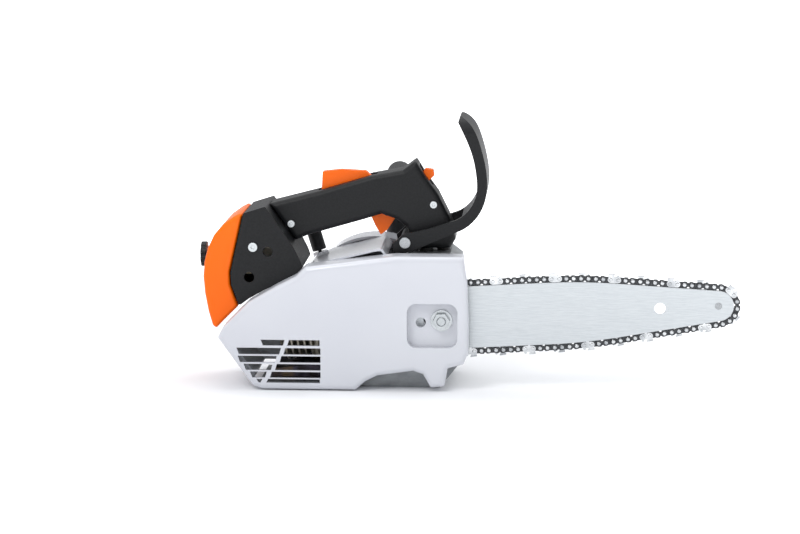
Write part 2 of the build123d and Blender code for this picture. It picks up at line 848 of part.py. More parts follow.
# each row: lowest and highest Z, then the left and right end of its two slots
grille = [
    (39.4, 44.5, -92.0, -71.1, -67.4, -40.9),
    (31.6, 37.4, -113.0, -74.4, -70.7, -40.2),
    (24.6, 30.3, -112.0, -78.1, -74.0, -40.2),
    (17.8, 23.3, -107.0, -81.7, -78.1, -40.2),
    (11.2, 16.5, -101.5, -86.8, -82.5, -40.2),
    (6.8, 10.1, -96.0, -90.7, -85.7, -40.8),
]
grille_lean = 1.6  # how far the bar between the slots leans per row


def outline(points, radius):
    """Closed rounded face through the points, in the current sketch."""
    with BuildLine(Plane.XY) as path:
        FilletPolyline(*points, radius=radius, close=True)
    make_face(path.edges())


def inset(points, radius, amount):
    """Face inside a rounded outline, that far in from it."""
    with BuildLine(Plane.XY) as path:
        FilletPolyline(*points, radius=radius, close=True)
    with BuildSketch(Plane.XY, mode=Mode.PRIVATE) as made:
        make_face(path.edges())
        offset(amount=-amount, mode=Mode.REPLACE)
    return made.sketch


with BuildPart() as sprocket_cover:
    with BuildSketch(side(cover_in_y)):
        outline(cover_outline, 2.0)
    extrude(amount=cover_in_y - cover_out_y)
    fillet(sprocket_cover.faces().sort_by(Axis.Y)[0].edges(), cover_edge)
    with BuildSketch(side(cover_in_y)):
        add(inset(cover_outline, 2.0, cover_wall))
    extrude(amount=cover_in_y - cover_out_y - cover_wall, mode=Mode.SUBTRACT)
    with BuildSketch(side(bar_face_y)):
        with Locations(recess_centre):
            RectangleRounded(recess_size[0] + 2 * cover_wall, recess_size[1] + 2 * cover_wall, recess_corner)
    extrude(amount=bar_face_y - cover_out_y - cover_wall)
    with BuildSketch(side(nut_seat_y)):
        with Locations(recess_centre):
            RectangleRounded(*recess_size, recess_corner)
    extrude(amount=20, mode=Mode.SUBTRACT)
    with BuildSketch(bar_frame(cover_in_y + 1, stud_u)):
        Circle(stud_radius + 0.3)
    extrude(amount=30, mode=Mode.SUBTRACT)
    with BuildSketch(bar_frame(cover_in_y + 1, tensioner_u, -tensioner_drop)):
        Circle(tensioner_radius + 1.2)
    extrude(amount=30, mode=Mode.SUBTRACT)
    with BuildSketch(bar_frame(cover_in_y + 1, 86)):
        RectangleRounded(24, 2 * bar_half_height + 20, 2)
    extrude(amount=cover_in_y + 1 - bar_y + chain_slot_half, mode=Mode.SUBTRACT)
    with BuildSketch(side(cover_in_y - 10)):
        for low, high, a, b, c, d in grille:
            Polygon((a + 2, low), (b - grille_lean, low), (b, high), (a, high), align=None)
            Polygon((c - grille_lean, low), (d, low), (d, high), (c, high), align=None)
    extrude(amount=30, mode=Mode.SUBTRACT)
save(sprocket_cover, "sprocket_cover")

# ---------------------------------------------------------------- engine shroud
shroud_right_y = case_right_y
shroud_left_y = 37.0
shroud_wall = 2.0
shroud_path = [
    (-100, 9),
    (-126, 46),
    (-121, 54),
    (-101, 72),
    (-62, 93),
    (-51, 103.5),
    (-38, 109.0),
    (4, 119.5),
    (11, 120.5),
    (15, 115),
]
boot_x = intake_at + port_length / 2
boot_place = (-boot_x * cos(radians(cylinder_drop)) - port_reach * sin(radians(cylinder_drop)), engine_y)


def strip(points, width, radius):
    """Face of constant width along a rounded path."""
    with BuildLine(Plane.XY, mode=Mode.PRIVATE) as path:
        FilletPolyline(*points, radius=radius)
    with BuildSketch(Plane.XY, mode=Mode.PRIVATE) as made:
        SlotArc(path.wires()[0], width)
    return made.sketch


boot_out = 10.0
with BuildPart() as engine_shroud:
    with BuildSketch(side(shroud_left_y)):
        add(strip(shroud_path, shroud_wall, 2.5))
    extrude(amount=shroud_left_y - shroud_right_y)
    with BuildSketch(side(shroud_left_y)):
        Polygon(
            *shroud_path, (15, 103), (-28, 98), (-28, 9), align=None,
        )
    extrude(amount=shroud_wall)
    with BuildSketch(Plane.XY.offset(80)):
        with Locations(boot_place):
            Circle(boot_out + 1.0)
    extrude(amount=25, mode=Mode.SUBTRACT)
save(engine_shroud, "engine_shroud")

# ---------------------------------------------------------------- rear housing and intake
housing_outline = [
    (-109, 151),
    (-90, 157),
    (-66.5, 123.5),
    (-60, 111),
    (-57.5, 104),
    (-64, 97),
    (-92, 83.5),
    (-105, 76),
    (-113, 70),
    (-120, 88),
    (-120.5, 99),
]
housing_open = [(-106, 147), (-115.5, 99), (-115.5, 88), (-109, 76), (-140, 73), (-140, 149)]
bolt_place = (-100.7, 121.7)
filter_low = (-112.0, 96.0)
filter_high = (-103.0, 140.0)
filter_thick = 8.0
filter_half = 28.0
with BuildPart() as rear_housing:
    with BuildSketch(side(rear_half_width)):
        outline(housing_outline, 1.5)
    extrude(amount=2 * rear_half_width)
    with BuildSketch(side(rear_half_width - shell_wall)):
        add(inset(housing_outline, 1.5, shell_wall))
        Polygon(*housing_open, align=None)
    extrude(amount=2 * (rear_half_width - shell_wall), mode=Mode.SUBTRACT)
    with BuildSketch(Plane.XY.offset(78)):
        with Locations(boot_place):
            Circle(boot_out + 1.0)
    extrude(amount=25, mode=Mode.SUBTRACT)
    with BuildSketch(side(0)):
        with Locations(bolt_place):
            Circle(2.2)
        with Locations((-88.0, 117.5)):
            Circle(4.2)
        with Locations((-104.3, 95.0)):
            Circle(4.5)
    extrude(amount=rear_half_width + 1, mode=Mode.SUBTRACT)
save(rear_housing, "rear_housing")

with BuildPart() as housing_bolt:
    with BuildSketch(side(-rear_half_width - 0.05)):
        with Locations(bolt_place):
            Circle(4.0)
    extrude(amount=2.2)
    with BuildSketch(side(-rear_half_width + 8)):
        with Locations(bolt_place):
            Circle(2.0)
    extrude(amount=9)
    with BuildSketch(side(-rear_half_width - 1.0)):
        with Locations(bolt_place):
            RegularPolygon(1.8, 6)
    extrude(amount=4, mode=Mode.SUBTRACT)

boot_low = crank_z - intake_at * sin(radians(cylinder_drop)) + port_reach + 0.3
boot_high = 104.0
with BuildPart() as intake_boot:
    with BuildSketch(Plane.XY.offset(boot_low)):
        with Locations(boot_place):
            Circle(boot_out - 2.0)
    extrude(amount=boot_high - boot_low)
    for k in range(4):
        with BuildSketch(Plane.XY.offset(boot_low + 3.0 + 4.5 * k)):
            with Locations(boot_place):
                Circle(boot_out)
        extrude(amount=2.0)
    with BuildSketch(Plane.XY.offset(boot_low - 1)):
        with Locations(boot_place):
            Circle(boot_out - 4.0)
    extrude(amount=boot_high - boot_low + 2, mode=Mode.SUBTRACT)
save(intake_boot, "intake_boot")

carb_rear_x = -98.0
with BuildPart() as carburetor:
    with BuildSketch(side(engine_y + 15)):
        Polygon(
            (boot_place[0] + 7, boot_high + 0.3),
            (boot_place[0] + 1, boot_high + 14),
            (carb_rear_x + 4, boot_high + 22),
            (carb_rear_x, boot_high + 18),
            (carb_rear_x + 4, boot_high + 0.3),
            align=None,
        )
    extrude(amount=30)
    with BuildSketch(Plane.XY.offset(boot_high)):
        with Locations(boot_place):
            Circle(boot_out - 4.5)
    extrude(amount=10, mode=Mode.SUBTRACT)
    with BuildSketch(Plane.YZ.offset(carb_rear_x - 5)):
        with Locations((engine_y, boot_high + 9)):
            Circle(6.0)
    extrude(amount=boot_place[0] - carb_rear_x + 5, mode=Mode.SUBTRACT)
save(carburetor, "carburetor")

with BuildPart() as air_filter:
    with BuildSketch(side(engine_y + filter_half)):
        Polygon(
            filter_low,
            (filter_low[0] + filter_thick, filter_low[1]),
            (filter_high[0] + filter_thick, filter_high[1]),
            filter_high,
            align=None,
        )
    extrude(amount=2 * filter_half)
    for k in range(9):
        with BuildSketch(side(engine_y + filter_half - 3.5 - 6.0 * k)):
            Polygon(
                (filter_low[0] - 1, filter_low[1] + 4),
                (filter_low[0] + 4, filter_low[1] + 4),
                (filter_high[0] + 4, filter_high[1] - 4),
                (filter_high[0] - 1, filter_high[1] - 4),
                align=None,
            )
        extrude(amount=2.5, mode=Mode.SUBTRACT)
save(air_filter, "air_filter")

# ---------------------------------------------------------------- filter cover
hood_outline = [
    (-109.5, 152),
    (-121.5, 99),
    (-121.2, 88),
    (-114.5, 69),
    (-128, 55.5),
    (-134, 49),
    (-137, 52),
    (-140.5, 64),
    (-143.5, 80),
    (-144.8, 95),
    (-143.6, 108),
    (-140.5, 120),
    (-135, 131.5),
    (-127, 141),
    (-118, 147.5),
]
hood_mouth = [(-113, 147), (-125.3, 99), (-125, 88), (-119, 73), (-100, 70), (-90, 150)]
hood_wall = 2.2
hood_right_y = -36.0
hood_left_y = 37.5
hood_edge = 3.0
knob_z = 109.0
knob_radius = 11.0
knob_seat_x = -144.0
with BuildPart() as filter_cover:
    with BuildSketch(side(hood_left_y)):
        outline(hood_outline, 2.0)
    extrude(amount=hood_left_y - hood_right_y)
    ends = filter_cover.faces().sort_by(Axis.Y)
    fillet(ends[0].edges() + ends[-1].edges(), hood_edge)
    with BuildSketch(side(hood_left_y - hood_wall)):
        add(inset(hood_outline, 2.0, hood_wall))
        Polygon(*hood_mouth, align=None)
    extrude(amount=hood_left_y - hood_right_y - 2 * hood_wall, mode=Mode.SUBTRACT)
    with BuildSketch(Plane.YZ.offset(-150)):
        with Locations((engine_y, knob_z)):
            Circle(3.2)
    extrude(amount=20, mode=Mode.SUBTRACT)
save(filter_cover, "filter_cover")

with BuildPart() as cover_knob:
    with BuildSketch(Plane.YZ.offset(knob_seat_x - 7.0)):
        with Locations((engine_y, knob_z)):
            Circle(knob_radius)
            with PolarLocations(knob_radius + 1.5, 8):
                Circle(2.6, mode=Mode.SUBTRACT)
    extrude(amount=5.0)
    with BuildSketch(Plane.YZ.offset(knob_seat_x - 3.0)):
        with Locations((engine_y, knob_z)):
            Circle(3.0)
    extrude(amount=filter_low[0] - knob_seat_x - 1.0)
save(cover_knob, "cover_knob")

# ---------------------------------------------------------------- top handle
handle_outline = [
    (-89.5, 156.2),
    (-45, 167.7),
    (0.8, 181.5),
    (28, 186.6),
    (39, 195),
    (47, 182),
    (58.5, 166),
    (68.5, 146),
    (72, 138),
    (74.3, 126.8),
    (69.5, 118.5),
    (35.5, 118.5),
    (35.4, 129.7),
    (31, 137),
    (22.4, 143.6),
    (9.5, 148.0),
    (-6.4, 143),
    (-55, 129),
    (-66.0, 124.2),
]
handle_edge = 5.0
handle_corner = 1.5
boss_radius = 5.5
handle_screw_places = [(-69.7, 139.0), (54.9, 156.7)]
screw_shank = 1.7
lever_half = 4.5
slot_half = 5.0
tube_start = (25.0, 168.0)
trigger_shape = [(-1, 146), (3, 137), (8, 128.3), (13.8, 132.7), (21, 143.6), (21.5, 153), (9, 154)]
interlock_shape = [(-44, 164), (-43, 183.7), (-26.5, 185.5), (-5, 184.4), (2, 178), (0, 168), (-8, 167)]
stop_shape = [(44, 174), (48, 174), (55, 181), (54, 186), (47, 187), (43, 180)]
interlock_slot = [(-47, 158), (-47, 190), (5, 190), (5, 163), (-8, 163), (-20, 158)]


def span(y_a, y_b):
    """Sketch plane and extrusion amount that fill the space between two Y values."""
    return side(max(y_a, y_b)), abs(y_a - y_b)


def handle_half(hand):
    """Half shell of the top handle, its outer edge rounded; hand is -1 right, +1 left."""
    outer = grip_y + hand * grip_half_width
    inner = grip_y + hand * 0.05
    inside = outer - hand * shell_wall
    lever_face = grip_y + hand * (lever_half + 0.3)
    with BuildPart() as made:
        plane, amount = span(outer, inner)
        with BuildSketch(plane):
            outline(handle_outline, handle_corner)
        extrude(amount=amount)
        fillet(made.faces().sort_by(Axis.Y)[0 if hand < 0 else -1].edges(), handle_edge)
        plane, amount = span(inside, inner)
        with BuildSketch(plane):
            add(inset(handle_outline, handle_corner, shell_wall))
        extrude(amount=amount, mode=Mode.SUBTRACT)
        plane, amount = span(inside + hand * 0.5, inner)
        with BuildSketch(plane):
            with Locations(*handle_screw_places):
                Circle(boss_radius)
        extrude(amount=amount)
        plane, amount = span(inside + hand * 0.5, lever_face)
        with BuildSketch(plane):
            with Locations(trigger_pivot, interlock_pivot, stop_pivot):
                Circle(boss_radius - 1.5)
        extrude(amount=amount)
        plane, amount = span(outer + hand * guard_boss(hand), inner)
        with BuildSketch(plane):
            with Locations(guard_pivot):
                Circle(boss_radius)
        extrude(amount=amount)
        plane, amount = span(outer + hand * 20, inner)
        with BuildSketch(plane):
            with Locations(guard_pivot):
                Circle(guard_pin_radius + 0.01)
            with Locations(*handle_screw_places):
                Circle(screw_shank + 0.01)
        extrude(amount=amount, mode=Mode.SUBTRACT)
        plane, amount = span(outer - hand * 1.2, inner)
        with BuildSketch(plane):
            with Locations(trigger_pivot, interlock_pivot, stop_pivot):
                Circle(lever_pin_radius + 0.01)
        extrude(amount=amount, mode=Mode.SUBTRACT)
        plane, amount = span(grip_y + hand * slot_half, inner)
        with BuildSketch(plane):
            Polygon(*trigger_slot, align=None)
            Polygon(*interlock_slot, align=None)
            Polygon(*stop_slot, align=None)
        extrude(amount=amount, mode=Mode.SUBTRACT)
    return made.part


def guard_boss(hand):
    """How far the guard's pivot boss stands out from the shell's side face."""
    arm_face = guard_near_y + guard_arm if hand < 0 else guard_far_y - guard_arm
    return abs(arm_face - grip_y) - grip_half_width - 0.2


guard_pin_radius = 2.5
trigger_slot = [(-4, 154), (-4, 130), (24, 130), (24, 154)]
stop_slot = [(42, 172), (42, 200), (62, 200), (62, 172)]
with BuildPart() as handle_shell_right:
    add(handle_half(-1))
    with BuildSketch(side(grip_y - grip_half_width + 2.0)):
        with Locations(*handle_screw_places):
            Circle(3.4)
    extrude(amount=5, mode=Mode.SUBTRACT)
save(handle_shell_right, "handle_shell_right")

with BuildPart() as handle_shell_left:
    add(handle_half(1))
    with BuildSketch(side(grip_y + grip_half_width + 1)):
        with Locations(tube_start):
            Circle(tube_radius + 0.6)
    extrude(amount=shell_wall + 1.5, mode=Mode.SUBTRACT)
save(handle_shell_left, "handle_shell_left")

with BuildPart() as case_screws:
    with BuildSketch(side(grip_y - grip_half_width + 2.0 - 0.05)):
        with Locations(*handle_screw_places):
            Circle(3.1)
    extrude(amount=1.8)
    with BuildSketch(side(grip_y + grip_half_width - 4.0)):
        with Locations(*handle_screw_places):
            Circle(screw_shank)
    extrude(amount=2 * grip_half_width - 5.0)
    with BuildSketch(side(grip_y - grip_half_width + 1.4)):
        with Locations(*handle_screw_places):
            RegularPolygon(1.5, 6)
    extrude(amount=5, mode=Mode.SUBTRACT)
    add(housing_bolt.part)
save(case_screws, "case_screws")

with BuildPart() as lever_pins:
    with BuildSketch(side(grip_y + grip_half_width - 1.5)):
        with Locations(trigger_pivot, interlock_pivot, stop_pivot):
            Circle(lever_pin_radius)
    extrude(amount=2 * grip_half_width - 3.0)
save(lever_pins, "lever_pins")


def lever(points, pivot, radius):
    """Lever of the given side shape with a hub and a running hole for its pin."""
    with BuildPart() as made:
        with BuildSketch(side(grip_y + lever_half)):
            outline(points, 1.0)
            with Locations(pivot):
                Circle(radius)
            with Locations(pivot):
                Circle(lever_pin_radius + running_gap, mode=Mode.SUBTRACT)
        extrude(amount=2 * lever_half)
    return made.part


for name, points, pivot in (
    ("trigger", trigger_shape, trigger_pivot),
    ("interlock", interlock_shape, interlock_pivot),
    ("stop_lever", stop_shape, stop_pivot),
):
    with BuildPart() as finger_lever:
        add(lever(points, pivot, 3.5))
    save(finger_lever, name)

# ---------------------------------------------------------------- hand guard
guard_front = [(78, 235), (89, 226), (96, 210), (100.5, 192), (102, 174.7), (98.4, 157), (89.8, 144), (76.8, 135.4)]
guard_back = [(72.5, 144.4), (86, 154), (92.6, 168), (92.6, 183.5), (89.5, 200), (84, 215), (76.5, 230)]
guard_foot = [(76.8, 135.4), (38, 118.5), (22, 114.5), (20, 124), (29, 132.5), (51, 137.5), (72.5, 144.4)]
guard_mid_y = (guard_near_y + guard_far_y) / 2
guard_width = guard_far_y - guard_near_y
with BuildPart() as hand_guard:
    with BuildSketch(side(guard_far_y)):
        with BuildLine():
            Spline(*guard_front)
            Polyline(*guard_foot)
            Spline(*guard_back)
            Line(guard_back[-1], guard_front[0])
        make_face()
    extrude(amount=guard_width)
    with BuildSketch(side(guard_far_y - guard_arm)):
        Polygon((0, 100), (80, 100), (80, 151), (0, 151), align=None)
    extrude(amount=guard_width - 2 * guard_arm, mode=Mode.SUBTRACT)
    with BuildSketch(Plane.YZ):
        with Locations((guard_mid_y, 167)):
            RectangleRounded(guard_width, 135, 15)
    extrude(amount=120, mode=Mode.INTERSECT)
    with BuildSketch(side(guard_far_y + 1)):
        with Locations(guard_pivot):
            Circle(guard_pin_radius + running_gap)
    extrude(amount=guard_width + 2, mode=Mode.SUBTRACT)
save(hand_guard, "hand_guard")

pin_reach = 6.0
with BuildPart() as guard_pins:
    for outer, inner, head in (
        (guard_near_y, grip_y - grip_half_width + pin_reach, guard_near_y - 1.7),
        (guard_far_y, grip_y + grip_half_width - pin_reach, guard_far_y + 1.7),
    ):
        plane, amount = span(outer, inner)
        with BuildSketch(plane):
            with Locations(guard_pivot):
                Circle(guard_pin_radius)
        extrude(amount=amount)
        plane, amount = span(outer + (0.05 if outer > 0 else -0.05), head)
        with BuildSketch(plane):
            with Locations(guard_pivot):
                Circle(4.8)
        extrude(amount=amount)
        plane, amount = span(outer, head)
        with BuildSketch(plane):
            with Locations(guard_pivot):
                Circle(guard_pin_radius)
        extrude(amount=amount)
save(guard_pins, "guard_pins")

# ---------------------------------------------------------------- flywheel and recoil starter
flywheel_in_y = 43.0
flywheel_width = 8.0
blade_height = 9.0
blade_count = 14
with BuildPart() as flywheel:
    add(disc(flywheel_in_y + flywheel_width, flywheel_width, flywheel_radius, shaft_radius))
    add(disc(flywheel_in_y + flywheel_width + 4, 4, 12.0, shaft_radius))
    for k in range(blade_count):
        with BuildSketch(bar_frame(flywheel_in_y + flywheel_width + blade_height, 0, 0, 360 / blade_count * k)):
            with Locations((flywheel_radius - 10, 0)):
                Rectangle(17, 2.0, rotation=25)
        extrude(amount=blade_height + 1)
    with BuildSketch(bar_frame(flywheel_in_y + flywheel_width + 1)):
        Circle(shaft_radius + 0.01)
    extrude(amount=flywheel_width + 2, mode=Mode.SUBTRACT)
save(flywheel, "flywheel")

starter_in_y = case_left_y + 0.2
starter_out_y = starter_in_y + starter_depth + 4.0
starter_wall = 2.6
starter_edge = 8.0
starter_flat_z = 2.0
rope_y = 68.0
rope_lean = 17.0  # degrees that the rope leans rearwards
rope_line = pulley_radius + rope_radius
grip_from = 59.0
grip_length = 36.0
lean = radians(rope_lean)
rope_start = Vector(-rope_line * cos(lean), rope_y, crank_z - rope_line * sin(lean))
rope_way = Vector(-sin(lean), 0, cos(lean))


def rope_plane(distance):
    """Plane square to the rope, that far from where it leaves the pulley."""
    return Plane(origin=rope_start + rope_way * distance, x_dir=(0, 1, 0), z_dir=rope_way)


mouth_from = (starter_radius**2 - rope_line**2) ** 0.5
with BuildPart() as starter_housing:
    with BuildSketch(Plane(origin=(0, 0, crank_z), x_dir=(1, 0, 0), z_dir=(0, 0, 1))):
        with BuildLine():
            FilletPolyline(
                (0, starter_out_y),
                (starter_radius, starter_out_y),
                (starter_radius, starter_in_y),
                radius=starter_edge,
            )
            Line((starter_radius, starter_in_y), (starter_radius - starter_wall, starter_in_y))
            FilletPolyline(
                (starter_radius - starter_wall, starter_in_y),
                (starter_radius - starter_wall, starter_out_y - starter_wall),
                (0, starter_out_y - starter_wall),
                radius=starter_edge - starter_wall,
            )
            Line((0, starter_out_y - starter_wall), (0, starter_out_y))
        make_face()
    revolve(axis=Axis((0, 0, crank_z), (0, 1, 0)))
    with BuildSketch(rope_plane(mouth_from - 8)):
        Circle(7.0)
    extrude(amount=14)
    with BuildSketch(rope_plane(0)):
        Circle(rope_radius + 0.6)
    extrude(amount=100, mode=Mode.SUBTRACT)
    add(disc(starter_out_y - starter_wall + 1, starter_out_y - starter_wall + 1 - rope_y + 6, 4.0))
    with BuildSketch(side(starter_out_y + 1)):
        with Locations((0, crank_z)):
            with PolarLocations(46, 18):
                SlotOverall(14, 3.5)
    extrude(amount=5, mode=Mode.SUBTRACT)
    with BuildSketch(Plane.XY.offset(starter_flat_z + starter_wall)):
        with Locations((0, (starter_in_y + starter_out_y) / 2 - 1.5)):
            Rectangle(54, starter_out_y - starter_in_y - 6)
    extrude(amount=-starter_wall - 1.5)
    with BuildSketch(Plane.XY.offset(starter_flat_z)):
        Rectangle(200, 300)
    extrude(amount=-80, mode=Mode.SUBTRACT)
save(starter_housing, "starter_housing")

groove_half = rope_radius + 0.6
with BuildPart() as starter_pulley:
    add(disc(rope_y + groove_half + 1.2, 1.2, pulley_radius + 2.5 * rope_radius))
    add(disc(rope_y + groove_half, 2 * groove_half, pulley_radius - 0.1))
    add(disc(rope_y - groove_half, 1.2, pulley_radius + 2.5 * rope_radius))
    add(disc(rope_y + 10, 20, 4.05), mode=Mode.SUBTRACT)
save(starter_pulley, "starter_pulley")

with BuildPart() as starter_rope:
    with BuildSketch(rope_plane(1.0)):
        Circle(rope_radius)
    extrude(amount=grip_from + 14)
save(starter_rope, "starter_rope")

with BuildPart() as starter_grip:
    with BuildSketch(rope_plane(grip_from)):
        Circle(6.5)
    extrude(amount=grip_length)
    with BuildSketch(rope_plane(grip_from + grip_length - 9)):
        SlotOverall(36, 15)
    extrude(amount=9)
    fillet(starter_grip.faces().sort_by(Axis.Z)[-1].edges(), 2.5)
    with BuildSketch(rope_plane(grip_from - 1)):
        Circle(rope_radius + 0.01)
    extrude(amount=17, mode=Mode.SUBTRACT)
save(starter_grip, "starter_grip")

spring_wire = 1.2
with BuildPart() as rewind_spring:
    for k in range(6):
        add(disc(rope_y + groove_half + 4.8, 2.5, 12.0 + 3 * k + spring_wire, 12.0 + 3 * k))
    with BuildSketch(side(rope_y + groove_half + 4.8)):
        with Locations((0, crank_z + 20.0)):
            Rectangle(1.2, 17)
    extrude(amount=2.5)
save(rewind_spring, "rewind_spring")

# ---------------------------------------------------------------- front handle and mounts
tube_wall = 2.0
tube_bend = 28.0
tube_foot_bend = 17.0
tube_out_y = 98.0
tube_x = 18.0
tube_path = [
    (tube_start[0], grip_y + grip_half_width - shell_wall, tube_start[1]),
    (tube_x, tube_out_y, 176.0),
    (tube_x, tube_out_y, 22.0),
    (tube_x, starter_out_y + 0.2, 22.0),
]
with BuildPart() as front_handle:
    with BuildLine():
        FilletPolyline(*tube_path, radius=(tube_bend, tube_foot_bend))
    with BuildSketch(Plane(origin=tube_path[0], z_dir=Vector(*tube_path[1]) - Vector(*tube_path[0]))):
        Circle(tube_radius)
        Circle(tube_radius - tube_wall, mode=Mode.SUBTRACT)
    sweep()
save(front_handle, "front_handle")

with BuildPart() as av_mounts:
    with BuildSketch(Plane.XY.offset(115.05)):
        with Locations((48, grip_y - 9), (48, grip_y + 9), (63, grip_y)):
            Circle(5.5)
    extrude(amount=3.4)
save(av_mounts, "av_mounts")
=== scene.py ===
import json
import math

import bmesh
import bpy
import numpy as np
from bpy.props import FloatProperty, FloatVectorProperty, PointerProperty
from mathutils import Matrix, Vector


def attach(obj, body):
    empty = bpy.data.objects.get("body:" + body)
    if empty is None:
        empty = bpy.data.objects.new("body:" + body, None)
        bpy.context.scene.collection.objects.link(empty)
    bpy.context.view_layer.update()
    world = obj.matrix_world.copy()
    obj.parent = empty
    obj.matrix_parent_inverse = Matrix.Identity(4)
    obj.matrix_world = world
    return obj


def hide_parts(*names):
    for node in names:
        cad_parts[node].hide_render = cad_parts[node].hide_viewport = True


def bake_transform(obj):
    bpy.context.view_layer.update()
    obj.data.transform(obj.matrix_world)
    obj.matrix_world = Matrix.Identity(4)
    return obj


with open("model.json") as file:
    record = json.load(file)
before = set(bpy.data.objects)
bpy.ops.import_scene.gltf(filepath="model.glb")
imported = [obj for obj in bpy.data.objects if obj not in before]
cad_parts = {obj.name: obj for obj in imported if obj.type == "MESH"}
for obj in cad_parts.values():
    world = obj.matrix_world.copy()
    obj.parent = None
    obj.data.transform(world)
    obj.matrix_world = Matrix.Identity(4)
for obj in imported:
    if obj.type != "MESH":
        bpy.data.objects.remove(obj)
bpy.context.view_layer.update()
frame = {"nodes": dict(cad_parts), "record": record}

bl_info = {
    "name": "Top-handle chainsaw",
    "version": (1, 0, 0),
    "blender": (4, 5, 0),
    "location": "3D View > Sidebar > Chainsaw",
    "description": "Finishes for a small petrol saw, and the studio that it stands in",
    "category": "Object",
}

NODES = frame["nodes"]


# ---------------------------------------------------------------- small helpers
def linear(hex_colour):
    """sRGB hex, such as 'F26A00', as a linear RGBA tuple."""
    parts = [int(hex_colour[i:i + 2], 16) / 255 for i in (0, 2, 4)]
    low = [c / 12.92 if c <= 0.04045 else ((c + 0.055) / 1.055) ** 2.4 for c in parts]
    return (*low, 1.0)


def node(tree, kind, settings=None, links=None, **values):
    """Adds one node, sets its properties and named inputs, and links inputs to sockets."""
    made = tree.nodes.new(kind)
    for key, value in (settings or {}).items():
        setattr(made, key, value)
    for key, value in values.items():
        made.inputs[key.replace("_", " ")].default_value = value
    for key, socket in (links or {}).items():
        tree.links.new(socket, made.inputs[key])
    return made


def blank_material(name):
    """New material with a Principled shader, its tree and its shader; one made before comes without the two."""
    old = bpy.data.materials.get(name)
    if old:
        return old, None, None
    material = bpy.data.materials.new(name)
    material.use_nodes = True
    tree = material.node_tree
    tree.nodes.clear()
    shader = tree.nodes.new("ShaderNodeBsdfPrincipled")
    out = tree.nodes.new("ShaderNodeOutputMaterial")
    tree.links.new(shader.outputs[0], out.inputs[0])
    return material, tree, shader


def grain(tree, scale, detail=2.0, stretch=(1, 1, 1), roughness=0.5):
    """Noise in object space; scale is in cycles per metre."""
    place = node(tree, "ShaderNodeTexCoord")
    turn = node(tree, "ShaderNodeMapping", links={"Vector": place.outputs["Object"]})
    turn.inputs["Scale"].default_value = stretch
    return node(tree, "ShaderNodeTexNoise", links={"Vector": turn.outputs[0]},
                Scale=scale, Detail=detail, Roughness=roughness)


def between(tree, socket, low, high, first, last):
    """Maps a value range to another."""
    made = node(tree, "ShaderNodeMapRange", links={"Value": socket})
    for key, value in zip(("From Min", "From Max", "To Min", "To Max"), (low, high, first, last)):
        made.inputs[key].default_value = value
    return made.outputs[0]


def two_tone(tree, socket, dark, light, low=0.35, high=0.65):
    """Colour ramp between two colours, each hex or linear."""
    ramp = node(tree, "ShaderNodeValToRGB", links={"Fac": socket})
    ramp.color_ramp.elements[0].position = low
    ramp.color_ramp.elements[0].color = linear(dark) if isinstance(dark, str) else dark
    ramp.color_ramp.elements[1].position = high
    ramp.color_ramp.elements[1].color = linear(light) if isinstance(light, str) else light
    return ramp.outputs[0]


def relief(tree, shader, socket, distance, strength):
    """Bump of a real height in metres."""
    bump = node(tree, "ShaderNodeBump", links={"Height": socket}, Strength=strength, Distance=distance)
    tree.links.new(bump.outputs[0], shader.inputs["Normal"])


def tint(tree, shader, socket, dark, light):
    """Lets the base colour wander between two tones."""
    tree.links.new(two_tone(tree, socket, dark, light), shader.inputs["Base Color"])


def sheen(tree, shader, socket, first, last, low=0.3, high=0.7):
    """Lets the roughness wander between two values."""
    tree.links.new(between(tree, socket, low, high, first, last), shader.inputs["Roughness"])


# ---------------------------------------------------------------- finishes
def moulded_gloss(name, dark, light, wear, coat, shine=0.5):
    """Polished injection-moulded nylon: even colour, faint orange peel, soft handling marks."""
    material, tree, shader = blank_material(name)
    if tree is None:
        return material
    tone = grain(tree, 9, 2)  # the melt's colour drifts over a hand's width
    tint(tree, shader, tone.outputs[0], dark, light)
    marks = grain(tree, 240, 5, (1, 1, 2.5), 0.65)
    sheen(tree, shader, marks.outputs[0], wear, wear + 0.07, 0.35, 0.75)
    peel = grain(tree, 500, 1)  # 2 mm waves of the mould's polish
    relief(tree, shader, peel.outputs[0], 0.000008, 0.4)
    shader.inputs["IOR"].default_value = 1.53
    shader.inputs["Specular IOR Level"].default_value = shine
    shader.inputs["Coat Weight"].default_value = coat
    shader.inputs["Coat Roughness"].default_value = 0.12
    return material


def textured_polymer(name, dark, light, rough=0.46, cell=1400.0, height=0.00003):
    """Glass-filled polyamide from a spark-eroded mould: fine grain that scatters light."""
    material, tree, shader = blank_material(name)
    if tree is None:
        return material
    tone = grain(tree, 700, 3)  # glass fibre ends, 1.4 mm apart
    tint(tree, shader, tone.outputs[0], dark, light)
    skin = grain(tree, cell, 3, roughness=0.6)
    sheen(tree, shader, skin.outputs[0], rough - 0.08, rough + 0.1)
    relief(tree, shader, skin.outputs[0], height, 0.8)
    shader.inputs["IOR"].default_value = 1.53
    shader.inputs["Specular IOR Level"].default_value = 0.25  # carbon black soaks up half of the glare
    return material


def cast_alloy(name, dark, light, rough=0.5):
    """Die-cast magnesium under thin paint: slight sparkle, flow marks and fine pitting."""
    material, tree, shader = blank_material(name)
    if tree is None:
        return material
    flow = grain(tree, 45, 5, (1, 1, 2))
    tint(tree, shader, flow.outputs[0], dark, light)
    pits = grain(tree, 900, 4, roughness=0.7)
    sheen(tree, shader, pits.outputs[0], rough - 0.1, rough + 0.12)
    relief(tree, shader, pits.outputs[0], 0.0001, 0.7)
    shader.inputs["Metallic"].default_value = 0.62
    return material


